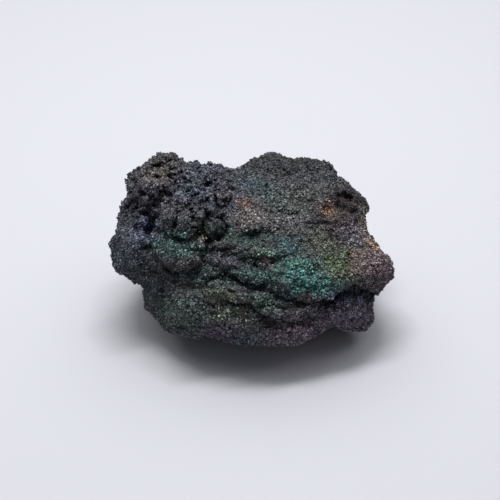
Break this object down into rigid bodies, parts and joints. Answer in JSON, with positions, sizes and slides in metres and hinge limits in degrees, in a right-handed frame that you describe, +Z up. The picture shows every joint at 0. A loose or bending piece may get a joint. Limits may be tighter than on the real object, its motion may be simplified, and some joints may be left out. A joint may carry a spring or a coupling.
{
  "type": "mineral specimen",
  "caption": "Hand-sized lump of dark goethite with an iridescent druse face and a cauliflower crown, resting on a flat broken base",
  "frame": {"origin": "bottom centre of the bounding box, on the flat base", "axes": "+Z up; +X to the right along the long way of the lump; -Y is the side of the druse face, which leans back on the lump and looks forwards and up"},
  "size_m": [0.0798, 0.05, 0.048],
  "materials": {
    "goethite_druse": "satin druse of small crystals, charcoal with a blue-green iridescent tarnish"
  },
  "bodies": {
    "root": {"goethite_specimen": "goethite_druse"}
  },
  "joints": []
}
